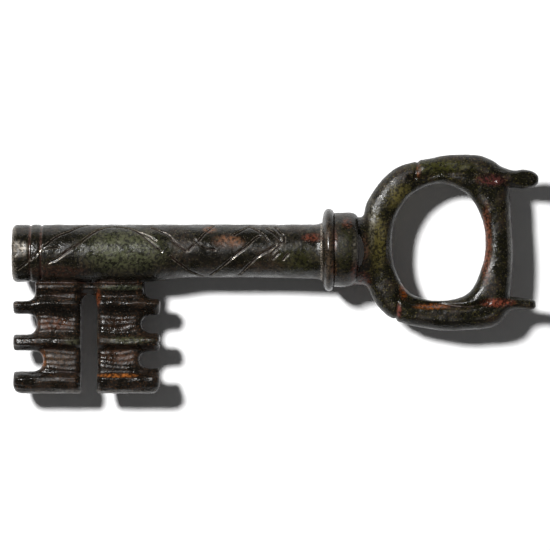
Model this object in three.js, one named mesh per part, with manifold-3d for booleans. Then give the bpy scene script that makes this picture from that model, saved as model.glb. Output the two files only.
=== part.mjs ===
// Bronze pipe key for a door lock, in millimetres.
// X runs along the stem from its open tip to the bow. Y points away from the bit, and Z is up
// when the key lies flat on a table. Lengths along X are counted from the stem's tip, and a drop
// is a distance from the stem's axis towards the foot of the bit.

import * as THREE from 'three';
import { mergeVertices } from 'three/addons/utils/BufferGeometryUtils.js';
import Module from 'manifold-3d';

const wasm = await Module();
wasm.setup();

// Stem: a tapering pipe with its back straight and its taper on the bit's side
const stemLength = 82.5;
const tipRadius = 7.7;
const waistRadius = 7.05;
const collarEndRadius = 7.25;
const tipSag = 0.46;
const tipStraight = 34;
const waistStart = 47;
const waistLength = 16;
const tipRound = 1.6;
const flareRise = 0.65;
const flareLength = 2.1;
const boreRadius = 3.5;
const boreDepth = 42;
const ringGrooveDepth = 0.35;
const ringGrooveWidth = 0.8;
const ringGrooveStart = 4.9;
const ringGrooveSpacing = 2.95;

// Collar: a thin raised ring, then a barrel-shaped bead
const flangeWidth = 3.06;
const flangeRadius = 11.05;
const flangeFootRadius = 8.6;
const knopLength = 6.4;
const knopRadius = 9.96;
const knopFrontRadius = 9.6;
const knopBackRadius = 8.8;
const collarRise = 0.45;

// Neck and tang that hold the bow to the stem
const neckReach = 2.2;
const neckHalfHeight = 8.9;
const neckHalfThickness = 6;
const neckEmbrace = 3;
const tangRadius = 3;
const tangInStem = 13.7;
const tangChamfer = 0.6;
const bowTenonRadius = 1.9;
const bowTenonDepth = 3.4;

// Bow: radii from its centre to the finger hole, every 30 degrees anticlockwise from the stem's line
const bowRise = 2.5;
const bowHalfThickness = 3.6;
const holeRadii = [12.4, 13.1, 14.85, 15.55, 14.4, 13.0, 12.35, 13.35, 15.4, 15.5, 15.65, 13.2];

// Bow: angle and radius of each turn in its outline, leaving out the prongs
const bowOutline = [
  [0, 19.8], [20, 20.6], [36, 23.4], [50, 26.1], [61, 26.2], [76, 24.0], [96, 22.4], [122, 22.9],
  [150, 22.0], [168, 20.3], [182, 19.2], [196, 19.9], [212, 22.5], [235, 23.9], [262, 23.1],
  [285, 24.2], [304, 26.8], [313, 26.5], [325, 23.4], [342, 20.8],
];

// Arms: angle at the ring's side, metal left between hole and arm there, and angle at the outline
const upperArm = [
  [114, 4.2, 104], [104, 2.4, 96], [90, 2.7, 88], [76, 3.6, 76], [60, 5.8, 65], [48, 7.6, 55],
];
const lowerArm = [
  [233, 4.4, 242], [246, 3.5, 250], [259, 2.8, 262], [272, 2.5, 274], [285, 3.4, 286],
  [297, 4.8, 296], [309, 6.8, 304],
];

// Prongs: distance from the bow's centre along the stem's line, then the inner and outer edges
const upperProng = [
  [17.6, 14.5, 19.9], [20.2, 14.45, 19.2], [22.8, 14.3, 19.4], [25.0, 14.6, 18.9],
  [26.3, 15.6, 17.9], [26.7, 16.4, 17.2],
];
const lowerProng = [
  [18.0, -14.6, -19.3], [20.0, -14.5, -18.1], [22.2, -14.8, -17.9], [24.2, -15.0, -18.1],
  [25.4, -15.6, -17.4], [25.8, -16.2, -16.8],
];
const armHalfThickness = 3.5;
const upperProngHalfThickness = 2.4;
const lowerProngHalfThickness = 1.9;

// Bit: two leaves side by side under a root bar, with a slit between them
const frontToothEnd = 0.2;
const rearToothEnd = 39.3;
const slitStart = 18.3;
const slitWidth = 4.2;
const leafTop = 11.55;
const bitDrop = 37.9;
const webHalf = 2.4;
const footHalf = 1.9;
const frontFootInset = 0.6;
const frontFootRound = 2.4;
const rearFootRound = 3.6;
const toothRound = 1.1;

// Ribs that cross the bit: drop to the start, the crest's two edges and the end, and half thickness
const rootRib = { start: 8.4, crest: 8.9, crestEnd: 9.8, end: 11.0, half: 3.5 };
const firstRib = { start: 12.5, crest: 13.5, crestEnd: 14.3, end: 16.6, half: 3.8 };
const secondRib = { start: 21.7, crest: 22.5, crestEnd: 25.0, end: 25.4, half: 3.7 };
const footRib = { start: 32.2, crest: 33.3, crestEnd: 34.4, half: 3.8 };

// Notches between the teeth: drop to the upper and lower edges, depth in from the tooth's end
const frontNotches = [
  { upper: 5.0, lower: 13.1, depth: 5.9 },
  { upper: 16.6, lower: 22.0, depth: 6.2 },
  { upper: 26.4, lower: 31.8, depth: 7.9 },
];
const rearNotches = [
  { upper: 5.0, lower: 12.6, depth: 4.2 },
  { upper: 16.9, lower: 21.7, depth: 4.8 },
  { upper: 26.5, lower: 31.1, depth: 5.4 },
];
const notchBulge = 1.6;

// Fit of one piece in another
const clearance = 0.3;
const rootTenonHalf = 1.2;
const rootTenonDepth = 2.1;
const tongueHalf = 0.9;
const tongueHeight = 1.5;
const tongueInset = 2;

// Fineness of round and curved forms
const stemSides = 40;
const turnedSides = 48;
const ringStations = 60;
const armStations = 26;
const roundSteps = 4;

// Places worked out from the sizes
const collarStart = stemLength;
const knopStart = collarStart + flangeWidth;
const neckStart = knopStart + knopLength;
const bowCentreX = neckStart + neckReach + radiusOfOutline(180);
const stemBack = tipRadius - tipSag;
const slitEnd = slitStart + slitWidth;
const farOut = 20;

// Radius of the finger hole in a direction, in degrees
function radiusOfHole(angle) {
  const step = 360 / holeRadii.length;
  const place = (((angle % 360) + 360) % 360) / step;
  const index = Math.floor(place);
  const at = (offset) => holeRadii[(index + offset + holeRadii.length) % holeRadii.length];
  return smoothBetween(at(-1), at(0), at(1), at(2), place - index);
}

// Radius of the bow's outline in a direction, in degrees
function radiusOfOutline(angle) {
  const turn = ((angle % 360) + 360) % 360;
  const count = bowOutline.length;
  const index = bowOutline.findLastIndex(([start]) => start <= turn);
  const from = bowOutline[index];
  const to = bowOutline[(index + 1) % count];
  const before = bowOutline[(index - 1 + count) % count];
  const after = bowOutline[(index + 2) % count];
  const span = (to[0] - from[0] + 360) % 360;
  return smoothBetween(before[1], from[1], to[1], after[1], (turn - from[0]) / span);
}

// Smooth curve through four even values, between the middle two
function smoothBetween(before, from, to, after, share) {
  const cubic = -before + 3 * from - 3 * to + after;
  const square = 2 * before - 5 * from + 4 * to - after;
  return 0.5 * (2 * from + (to - before) * share + square * share ** 2 + cubic * share ** 3);
}

// Point of the bow at an angle and a radius from its centre
function bowPoint(angle, radius) {
  const turn = THREE.MathUtils.degToRad(angle);
  return new THREE.Vector2(
    bowCentreX + radius * Math.cos(turn),
    bowRise + radius * Math.sin(turn),
  );
}

// Closed solid from a geometry, with its faces pointing outwards
function solid(geometry) {
  const bare = new THREE.BufferGeometry();
  bare.setAttribute('position', geometry.getAttribute('position'));
  bare.setIndex(geometry.getIndex());
  const merged = mergeVertices(bare, 1e-4);
  const triangles = Uint32Array.from(merged.getIndex().array);
  const build = () => new wasm.Manifold(new wasm.Mesh({
    numProp: 3,
    vertProperties: Float32Array.from(merged.getAttribute('position').array),
    triVerts: triangles,
  }));
  const first = build();
  if (first.volume() > 0) {
    return first;
  }
  for (let i = 0; i < triangles.length; i += 3) {
    [triangles[i], triangles[i + 1]] = [triangles[i + 1], triangles[i]];
  }
  return build();
}

// Skin drawn through rings of points that all have the same count
function loft(rings, closed = false) {
  const count = rings[0].length;
  const points = rings.flat();
  const triangles = [];
  const spans = closed ? rings.length : rings.length - 1;
  for (let ring = 0; ring < spans; ring += 1) {
    const start = ring * count;
    const nextStart = ((ring + 1) % rings.length) * count;
    for (let side = 0; side < count; side += 1) {
      const next = (side + 1) % count;
      triangles.push(start + side, start + next, nextStart + next);
      triangles.push(start + side, nextStart + next, nextStart + side);
    }
  }
  if (!closed) {
    const lastStart = (rings.length - 1) * count;
    const middle = (ring) => ring
      .reduce((sum, point) => sum.add(point), new THREE.Vector3())
      .divideScalar(count);
    points.push(middle(rings[0]), middle(rings.at(-1)));
    for (let side = 0; side < count; side += 1) {
      const next = (side + 1) % count;
      triangles.push(points.length - 2, next, side);
      triangles.push(points.length - 1, lastStart + side, lastStart + next);
    }
  }
  const geometry = new THREE.BufferGeometry().setFromPoints(points);
  geometry.setIndex(triangles);
  return solid(geometry);
}

// Ring of points round the X direction, flattened when the two half sizes differ
function crossRing(x, centreY, halfY, halfZ, sides) {
  return Array.from({ length: sides }, (_, side) => {
    const turn = (2 * Math.PI * side) / sides;
    return new THREE.Vector3(
      x,
      centreY + halfY * Math.cos(turn),
      halfZ * Math.sin(turn),
    );
  });
}

// Round pin along X
function pin(start, end, radius, centreY) {
  return loft([
    crossRing(start, centreY, radius, radius, stemSides),
    crossRing(end, centreY, radius, radius, stemSides),
  ]);
}

// Block from its lowest to its highest corner
function block(low, high) {
  const size = high.map((value, axis) => value - low[axis]);
  const geometry = new THREE.BoxGeometry(...size);
  geometry.translate(...low.map((value, axis) => value + size[axis] / 2));
  return solid(geometry);
}

// Solid of an outline in the plane of the key, as thick as asked to both sides
function plate(shape, halfThickness) {
  const geometry = new THREE.ExtrudeGeometry(shape, {
    depth: 2 * halfThickness,
    bevelEnabled: false,
    curveSegments: roundSteps * 2,
  });
  geometry.translate(0, 0, -halfThickness);
  return solid(geometry);
}

// Stem

function stemRadius(x) {
  const waistEnd = waistStart + waistLength;
  if (x < waistStart) {
    const share = THREE.MathUtils.smoothstep(x, tipStraight, waistStart);
    return THREE.MathUtils.lerp(tipRadius, waistRadius, share);
  }
  const share = THREE.MathUtils.smoothstep(x, waistEnd, stemLength - flareLength);
  return THREE.MathUtils.lerp(waistRadius, collarEndRadius, share);
}

function stemSolid(grow) {
  const rings = [];
  const addRing = (x, rise) => {
    const radius = stemRadius(x) + rise + grow;
    const centre = stemBack - stemRadius(x);
    rings.push(crossRing(x, centre, radius, radius, stemSides));
  };
  for (let step = 0; step <= roundSteps; step += 1) {
    const turn = (Math.PI / 2) * (step / roundSteps);
    addRing(tipRound * (1 - Math.cos(turn)), -tipRound * (1 - Math.sin(turn)));
  }
  for (const groove of [ringGrooveStart, ringGrooveStart + ringGrooveSpacing]) {
    addRing(groove - ringGrooveWidth / 2, 0);
    addRing(groove, -ringGrooveDepth);
    addRing(groove + ringGrooveWidth / 2, 0);
  }
  const taperStart = ringGrooveStart + ringGrooveSpacing + ringGrooveWidth;
  const taperEnd = stemLength - flareLength;
  const taperSteps = 3 * roundSteps;
  for (let step = 0; step <= taperSteps; step += 1) {
    addRing(THREE.MathUtils.lerp(taperStart, taperEnd, step / taperSteps), 0);
  }
  for (let step = 1; step <= roundSteps; step += 1) {
    const turn = (Math.PI / 2) * (step / roundSteps);
    addRing(taperEnd + flareLength * Math.sin(turn), flareRise * (1 - Math.cos(turn)));
  }
  return loft(rings);
}

const bore = pin(-1, boreDepth, boreRadius, stemBack - tipRadius);
const tangSocket = pin(
  stemLength - tangInStem - clearance,
  stemLength + 1,
  tangRadius + clearance,
  collarRise,
);
const tenonTop = stemBack - 2 * tipRadius + rootTenonDepth;

// Collar: both pieces are turned about the tang's line and bored for the tang
function turned(profile) {
  const outline = profile.map(([x, radius]) => new THREE.Vector2(radius, x));
  const geometry = new THREE.LatheGeometry([...outline, outline[0]], turnedSides);
  geometry.rotateZ(-Math.PI / 2);
  geometry.translate(0, collarRise, 0);
  return solid(geometry);
}

const boredRadius = tangRadius + clearance;

const flange = turned([
  [collarStart, boredRadius],
  [collarStart, flangeFootRadius],
  [collarStart + 0.25 * flangeWidth, 0.55 * flangeFootRadius + 0.45 * flangeRadius],
  [collarStart + 0.42 * flangeWidth, flangeRadius - 0.15],
  [collarStart + 0.55 * flangeWidth, flangeRadius],
  [collarStart + 0.7 * flangeWidth, flangeRadius - 0.25],
  [knopStart, 0.5 * (flangeRadius + knopFrontRadius)],
  [knopStart, boredRadius],
]);

const knop = turned([
  [knopStart, boredRadius],
  [knopStart, knopFrontRadius],
  [knopStart + 0.2 * knopLength, 0.3 * knopFrontRadius + 0.7 * knopRadius],
  [knopStart + 0.45 * knopLength, knopRadius],
  [knopStart + 0.7 * knopLength, 0.7 * knopRadius + 0.3 * knopBackRadius],
  [knopStart + 0.88 * knopLength, 0.3 * knopRadius + 0.7 * knopBackRadius],
  [neckStart, knopBackRadius],
  [neckStart, boredRadius],
]);

// Bow: every bar has a section of ten points, with sloping facets on the sides that show.
// An edge share says how thick a side of the bar is, from its middle to its full thickness.
function barSection(inner, outer, halfThickness, innerShare, outerShare) {
  const across = [
    [0, innerShare],
    [0.2, 0.5 + 0.45 * innerShare],
    [0.48, 1],
    [0.75, 0.92],
    [1, outerShare],
  ];
  const upper = across.map(([share, height]) => {
    const spot = inner.clone().lerp(outer, share);
    return new THREE.Vector3(spot.x, spot.y, height * halfThickness);
  });
  const lower = upper.map((point) => new THREE.Vector3(point.x, point.y, -point.z)).reverse();
  return [...upper, ...lower];
}

const edgeShare = 0.4;
const flushShare = 0.95;

function ringSolid(grow) {
  return loft(Array.from({ length: ringStations }, (_, station) => {
    const angle = (360 * station) / ringStations;
    return barSection(
      bowPoint(angle, radiusOfHole(angle) - grow),
      bowPoint(angle, radiusOfOutline(angle) + grow),
      bowHalfThickness + grow,
      edgeShare,
      edgeShare,
    );
  }), true);
}

// Path of one arm: its inner edge, outer edge, half thickness and inner edge share at each station
function armPath(alongRing, prong, prongHalfThickness) {
  const stations = alongRing.map(([innerAngle, lip, outerAngle]) => ({
    inner: bowPoint(innerAngle, radiusOfHole(innerAngle) + lip),
    outer: bowPoint(outerAngle, radiusOfOutline(outerAngle)),
    half: armHalfThickness,
    share: flushShare,
  }));
  prong.forEach(([reach, innerEdge, outerEdge], index) => {
    const width = Math.abs(outerEdge - innerEdge);
    stations.push({
      inner: new THREE.Vector2(bowCentreX + reach, bowRise + innerEdge),
      outer: new THREE.Vector2(bowCentreX + reach, bowRise + outerEdge),
      half: index === 0 ? armHalfThickness : Math.min(prongHalfThickness, 0.55 * width),
      share: index === 0 ? flushShare : edgeShare,
    });
  });
  const curveOf = (pick) => new THREE.CatmullRomCurve3(stations.map(pick), false, 'centripetal');
  const innerCurve = curveOf(({ inner }) => new THREE.Vector3(inner.x, inner.y, 0));
  const outerCurve = curveOf(({ outer }) => new THREE.Vector3(outer.x, outer.y, 0));
  const last = stations.length - 1;
  return Array.from({ length: armStations + 1 }, (_, step) => {
    const place = (step / armStations) * last;
    const index = Math.min(Math.floor(place), last - 1);
    const blend = (key) => THREE.MathUtils.lerp(
      stations[index][key],
      stations[index + 1][key],
      place - index,
    );
    const inner = innerCurve.getPoint(step / armStations);
    const outer = outerCurve.getPoint(step / armStations);
    return {
      inner: new THREE.Vector2(inner.x, inner.y),
      outer: new THREE.Vector2(outer.x, outer.y),
      half: blend('half'),
      share: blend('share'),
    };
  });
}

function armSolid(path) {
  return loft(path.map(({ inner, outer, half, share }) => (
    barSection(inner, outer, half, share, edgeShare)
  )));
}

// Seat of an arm in the ring: the arm's start and inner edge, moved off by the clearance
function armSeat(path) {
  const start = path[0];
  const seam = start.outer.clone().sub(start.inner).normalize();
  const ahead = path[1].inner.clone().sub(start.inner);
  const back = new THREE.Vector2(-seam.y, seam.x);
  if (back.dot(ahead) > 0) {
    back.negate();
  }
  const edge = path.map(({ inner, outer }) => (
    inner.clone().add(inner.clone().sub(outer).setLength(clearance))
  ));
  const seatStart = start.inner.clone().addScaledVector(back, clearance);
  const outline = [
    seatStart.clone().addScaledVector(seam, farOut),
    seatStart.clone().addScaledVector(seam, -clearance),
    ...edge.slice(1),
  ];
  const end = outline.at(-1);
  outline.push(new THREE.Vector2(end.x, outline[0].y));
  return plate(new THREE.Shape(outline), bowHalfThickness + 1);
}

const upperPath = armPath(upperArm, upperProng, upperProngHalfThickness);
const lowerPath = armPath(lowerArm, lowerProng, lowerProngHalfThickness);
const tenonStart = neckStart + clearance;
const tenonEnd = neckStart + neckReach + bowTenonDepth;
const ring = ringSolid(0)
  .subtract(armSeat(upperPath))
  .subtract(armSeat(lowerPath))
  .subtract(pin(tenonStart, tenonEnd + clearance, bowTenonRadius + clearance, collarRise));

// Neck: flattens from the round knop to the bow, and grips the ring's side like a fork
const tangStart = stemLength - tangInStem;
const neckEnd = neckStart + neckReach + neckEmbrace;
const neck = loft([
  crossRing(neckStart, collarRise, neckHalfHeight, neckHalfThickness, stemSides),
  crossRing(neckStart + neckReach, collarRise, 0.96 * neckHalfHeight, bowHalfThickness, stemSides),
  crossRing(neckEnd, collarRise, 0.88 * neckHalfHeight, 0.85 * bowHalfThickness, stemSides),
])
  .subtract(ringSolid(clearance))
  .add(pin(tenonStart, tenonEnd, bowTenonRadius, collarRise))
  .add(loft([
    crossRing(tangStart, collarRise, tangRadius - tangChamfer, tangRadius - tangChamfer, stemSides),
    crossRing(tangStart + tangChamfer, collarRise, tangRadius, tangRadius, stemSides),
    crossRing(neckStart + 1, collarRise, tangRadius, tangRadius, stemSides),
  ]));

// Bit

// Half thickness of the bit down its height, drawn as one outline and carried along the stem
function bitBlank() {
  const upperSide = [[5, webHalf]];
  for (const rib of [rootRib, firstRib, secondRib]) {
    upperSide.push([rib.start, webHalf], [rib.crest, rib.half]);
    upperSide.push([rib.crestEnd, rib.half], [rib.end, webHalf]);
  }
  upperSide.push([footRib.start, webHalf], [footRib.crest, footRib.half]);
  upperSide.push([footRib.crestEnd, footRib.half], [bitDrop, footHalf]);
  const lowerSide = upperSide.map(([drop, half]) => [drop, -half]).reverse();
  const shape = new THREE.Shape(
    [...upperSide, ...lowerSide].map(([drop, half]) => new THREE.Vector2(half, -drop)),
  );
  const geometry = new THREE.ExtrudeGeometry(shape, {
    depth: rearToothEnd - frontToothEnd,
    bevelEnabled: false,
  });
  geometry.rotateY(Math.PI / 2);
  geometry.translate(frontToothEnd, 0, 0);
  return solid(geometry);
}

// Outline of the bit seen from above, with its two lower corners rounded
function bitOutline() {
  const shape = new THREE.Shape();
  const footStart = frontToothEnd + frontFootInset;
  const footTop = frontNotches.at(-1).lower;
  shape.moveTo(frontToothEnd, 0);
  shape.lineTo(frontToothEnd, -footTop + 1);
  shape.lineTo(footStart, -footTop + 1);
  shape.lineTo(footStart, -bitDrop + frontFootRound);
  shape.quadraticCurveTo(footStart, -bitDrop, footStart + frontFootRound, -bitDrop);
  shape.lineTo(rearToothEnd - rearFootRound, -bitDrop);
  shape.quadraticCurveTo(rearToothEnd, -bitDrop, rearToothEnd, -bitDrop + rearFootRound);
  shape.lineTo(rearToothEnd, 0);
  return plate(shape, farOut);
}

// One notch between two teeth, cut in from the side with a rounded end. Inwards is +1 or -1.
function notchCut({ upper, lower, depth }, toothEnd, inwards) {
  const outside = toothEnd - inwards * (toothRound + 1);
  const middle = -(upper + lower) / 2;
  const half = (lower - upper) / 2;
  const shape = new THREE.Shape();
  shape.moveTo(outside, middle + half + toothRound);
  shape.lineTo(toothEnd, middle + half + toothRound);
  shape.lineTo(toothEnd + inwards * toothRound, middle + half);
  shape.lineTo(toothEnd + inwards * (depth - notchBulge), middle + half);
  for (let step = 1; step < 2 * roundSteps; step += 1) {
    const turn = Math.PI * (0.5 - step / (2 * roundSteps));
    const reach = depth - notchBulge + notchBulge * Math.cos(turn);
    shape.lineTo(toothEnd + inwards * reach, middle + half * Math.sin(turn));
  }
  shape.lineTo(toothEnd + inwards * (depth - notchBulge), middle - half);
  shape.lineTo(toothEnd + inwards * toothRound, middle - half);
  shape.lineTo(toothEnd, middle - half - toothRound);
  shape.lineTo(outside, middle - half - toothRound);
  return plate(shape, farOut);
}

let bit = bitBlank().intersect(bitOutline());
for (const notch of frontNotches) {
  bit = bit.subtract(notchCut(notch, frontToothEnd, 1));
}
for (const notch of rearNotches) {
  bit = bit.subtract(notchCut(notch, rearToothEnd, -1));
}

// Box over the bit between two places along the stem and two drops
function bitBox(start, end, top, foot, half = farOut) {
  return block([start, -foot, -half], [end, -top, half]);
}

// Tongue on top of a leaf, and the groove for it in the root when it is grown by the clearance
function tongue(start, end, grow) {
  return bitBox(
    start + tongueInset - grow,
    end - tongueInset + grow,
    leafTop - tongueHeight - grow,
    leafTop + 1,
    tongueHalf + grow,
  );
}

const rootStart = frontToothEnd + frontNotches[0].depth;
const rootEnd = rearToothEnd - rearNotches[0].depth;
const frontLeaf = bit
  .intersect(bitBox(-1, slitStart, leafTop, bitDrop + 1))
  .add(tongue(rootStart, slitStart, 0));
const rearLeaf = bit
  .intersect(bitBox(slitEnd, farOut * 3, leafTop, bitDrop + 1))
  .add(tongue(slitEnd, rootEnd, 0));
const tenonInset = 1;
const root = bit
  .intersect(bitBox(rootStart - 1, rootEnd + 1, 5, leafTop))
  .subtract(stemSolid(clearance))
  .add(bitBox(rootStart + tenonInset, rootEnd - tenonInset, -tenonTop, leafTop - 2, rootTenonHalf))
  .subtract(tongue(rootStart, slitStart, clearance))
  .subtract(tongue(slitEnd, rootEnd, clearance));

const stem = stemSolid(0)
  .subtract(bore)
  .subtract(tangSocket)
  .subtract(bitBox(
    rootStart + tenonInset - clearance,
    rootEnd - tenonInset + clearance,
    -tenonTop - clearance,
    leafTop,
    rootTenonHalf + clearance,
  ));

// Assembly

const key = new THREE.Group();

function addPiece(name, body, color, roughness) {
  const { vertProperties, triVerts } = body.getMesh();
  const geometry = new THREE.BufferGeometry();
  geometry.setAttribute('position', new THREE.BufferAttribute(vertProperties, 3));
  geometry.setIndex(new THREE.BufferAttribute(triVerts, 1));
  geometry.computeVertexNormals();
  const material = new THREE.MeshStandardMaterial({ color, roughness, metalness: 0.85 });
  const piece = new THREE.Mesh(geometry, material);
  piece.name = name;
  key.add(piece);
}

addPiece('stem', stem, '#2f2c22', 0.42);
addPiece('collar_flange', flange, '#4a3428', 0.45);
addPiece('collar_knop', knop, '#33321f', 0.5);
addPiece('bow_neck', neck, '#3a2a22', 0.48);
addPiece('bow_ring', ring, '#38351f', 0.42);
addPiece('bow_upper_arm', armSolid(upperPath), '#3b3a22', 0.45);
addPiece('bow_lower_arm', armSolid(lowerPath), '#262a20', 0.4);
addPiece('bit_root', root, '#2c2a22', 0.4);
addPiece('bit_front_leaf', frontLeaf, '#33261c', 0.38);
addPiece('bit_rear_leaf', rearLeaf, '#35281c', 0.38);

// The origin is in the middle of the key's length and width, on the table it lies on
const bounds = new THREE.Box3().setFromObject(key);
const middle = bounds.getCenter(new THREE.Vector3());
key.position.set(-middle.x, -middle.y, -bounds.min.z);

export default key;
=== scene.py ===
# A cast bronze door key lying flat on a white table: engraved pipe stem, ringed collar, pronged
# finger ring and a slit bit with ribs. Lengths are in millimetres in the key's own frame (x from
# the tip along the stem, y from the stem's axis, z from its mid plane) and become metres once,
# where a mesh is made.
import math

import bpy
import numpy as np
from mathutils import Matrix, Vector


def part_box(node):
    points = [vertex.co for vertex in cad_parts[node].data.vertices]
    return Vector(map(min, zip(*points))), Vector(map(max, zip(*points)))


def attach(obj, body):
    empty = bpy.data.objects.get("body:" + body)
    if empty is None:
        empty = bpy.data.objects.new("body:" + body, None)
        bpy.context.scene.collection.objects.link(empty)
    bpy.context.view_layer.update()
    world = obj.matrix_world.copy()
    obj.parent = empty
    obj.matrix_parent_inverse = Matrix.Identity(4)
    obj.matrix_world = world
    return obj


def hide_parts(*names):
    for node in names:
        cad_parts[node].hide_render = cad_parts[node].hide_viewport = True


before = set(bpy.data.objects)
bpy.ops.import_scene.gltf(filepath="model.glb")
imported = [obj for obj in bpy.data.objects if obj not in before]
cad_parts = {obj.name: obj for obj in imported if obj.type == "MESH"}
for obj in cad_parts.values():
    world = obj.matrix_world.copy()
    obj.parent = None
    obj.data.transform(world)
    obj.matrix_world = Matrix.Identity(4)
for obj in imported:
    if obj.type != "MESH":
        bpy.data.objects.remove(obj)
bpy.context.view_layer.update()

# Stem: a cast bronze pipe, bored for the lock's pin, tapering away from the tip and flaring a
# little where it meets the collar. Two ring grooves are turned near the tip, and a lattice of
# slanting lines is chased into the skin. Old dark patina, rubbed pale on edges.
TO_METRES = 0.001
stem_low, stem_high = (np.array(corner) / TO_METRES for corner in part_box("stem"))
flange_low, flange_high = (np.array(corner) / TO_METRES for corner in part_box("collar_flange"))

stem_length = stem_high[0] - stem_low[0]
collar_rise = 0.45
key_origin = np.array([
    stem_low[0],
    (flange_low[1] + flange_high[1]) / 2 - collar_rise,
    (flange_low[2] + flange_high[2]) / 2,
])

back_line = 7.24
tip_radius, waist_radius, collar_end_radius = 7.7, 7.05, 7.25
tip_straight, waist_start, waist_end = 34.0, 47.0, 63.0
flare_height, flare_length = 0.62, 2.1
tip_round = 1.5
# Left free in front of the tip, so that the cast skin stays inside the key's length.
skin_allowance = 0.09
bore_radius, bore_depth, bore_front = 3.5, 42.0, 1.0
# Rounded mouth of the bore as (x, how much wider than the bore), and where the flat rim starts.
mouth_profile = [(0.25, 0.05), (0.0, 0.25)]
mouth_width = 0.3
ring_groove_places = (4.9, 7.85)
ring_groove_width, ring_groove_depth = 0.36, 0.34
# Flaws in the rim: (x, y, half length, half width, depth), on the side that faces up.
rim_flaws = [(0.3, 0.1, 1.5, 1.3, 0.9), (2.9, 0.9, 1.8, 1.2, 0.3)]
flaw_fade, flaw_steepness, flaw_gap_to_bore = 0.3, 2, 1.0
bore_steps, tip_steps, face_steps = 24, 7, 8
stem_step, stem_sides = 0.25, 232
line_width, line_depth, line_steps = 0.5, 0.38, 6

# The chased lines as (x, y) seen from above, each running from one flank of the stem to the other.
chased_lines = [
    [(1.7, -4.9), (5.4, -2.1), (8.6, 1.0), (12.1, 3.9), (15.5, 5.35), (17.9, 6.5), (20.1, 6.95)],
    [(10.0, -3.0), (12.2, -2.1), (15.5, 0.4), (17.4, 1.65), (20.9, 4.4), (23.3, 5.8),
     (25.9, 6.5), (29.3, 6.4), (32.7, 5.6), (36.2, 3.1), (38.3, 1.2), (39.8, 0.0)],
    [(34.2, 4.95), (36.4, 4.0), (38.3, 2.75)],
    [(37.1, 6.3), (41.4, 4.5), (42.9, 2.8), (45.2, 0.95), (46.3, 0.0)],
    [(47.0, 0.25), (49.4, 2.6), (51.2, 4.7), (53.6, 6.8)],
    [(42.2, -1.3), (44.0, -2.8), (45.8, -4.1), (47.5, -5.35), (50.7, -6.6)],
    [(52.8, -6.2), (55.2, -4.5), (57.6, -2.5), (60.0, -0.5), (62.4, 1.4), (64.7, 3.6), (65.9, 4.15)],
    [(60.5, -6.1), (62.9, -3.6), (65.9, -0.95), (68.3, 0.35), (70.0, 1.65)],
    [(69.05, -0.5), (71.2, 1.65)],
    [(69.3, -2.0), (70.8, -0.4)],
    [(72.0, -2.2), (73.3, -0.65)],
    [(58.9, 4.4), (63.2, 6.7)],
    [(63.2, 6.55), (65.75, 5.2), (67.1, 4.05), (67.9, 2.8)],
    [(67.7, 6.0), (69.2, 5.2), (70.65, 3.8), (71.7, 2.5)],
    [(70.0, 6.3), (71.45, 4.7), (72.25, 4.05), (72.25, 2.55)],
    [(8.6, 0.7), (12.6, 1.2)],
    [(48.6, 3.1), (51.0, 1.0), (53.9, 0.4)],
]


def through(points, closed=False, steps=8):
    """A smooth curve that passes through the given points."""
    p = np.asarray(points, float)
    if closed:
        before, here, after, later = (np.roll(p, shift, axis=0) for shift in (1, 0, -1, -2))
    else:
        p = np.vstack([2 * p[0] - p[1], p, 2 * p[-1] - p[-2]])
        before, here, after, later = p[:-3], p[1:-2], p[2:-1], p[3:]
    t = np.linspace(0, 1, steps, endpoint=False)[:, None, None]
    curve = 0.5 * (
        2 * here
        + (after - before) * t
        + (2 * before - 5 * here + 4 * after - later) * t**2
        + (3 * here - before - 3 * after + later) * t**3
    )
    curve = curve.transpose(1, 0, 2).reshape(-1, p.shape[1])
    return curve if closed else np.vstack([curve, p[-2]])


def eased(value, start, end):
    """0 before start, 1 after end, with a soft rise between."""
    t = np.clip((value - start) / (end - start), 0, 1)
    return t * t * (3 - 2 * t)


def stem_radius(x):
    """The stem's radius at x, without its grooves."""
    radius = tip_radius + (waist_radius - tip_radius) * eased(x, tip_straight, waist_start)
    radius = radius + (collar_end_radius - waist_radius) * eased(x, waist_end, stem_length)
    flare = flare_height * np.clip((x - stem_length + flare_length) / flare_length, 0, 1) ** 2
    corner = np.clip(1 - x / tip_round, 0, 1)
    return radius + flare - tip_round * (1 - np.sqrt(1 - corner**2))


def stem_centre(x):
    """How far the stem's centre lies off its axis: its back is straight and its belly tapers."""
    radius = tip_radius + (waist_radius - tip_radius) * eased(x, tip_straight, waist_start)
    return back_line - radius - (collar_end_radius - waist_radius) * eased(x, waist_end, stem_length)


def mesh_object(name, points, faces=(), edges=()):
    """An object at the origin, with its place in its mesh, from points in the key's frame."""
    mesh = bpy.data.meshes.new(name)
    mesh.from_pydata(((np.array(points) + key_origin) * TO_METRES).tolist(), edges, faces)
    mesh.shade_smooth()
    made = bpy.data.objects.new(name, mesh)
    bpy.context.collection.objects.link(made)
    return made


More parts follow.
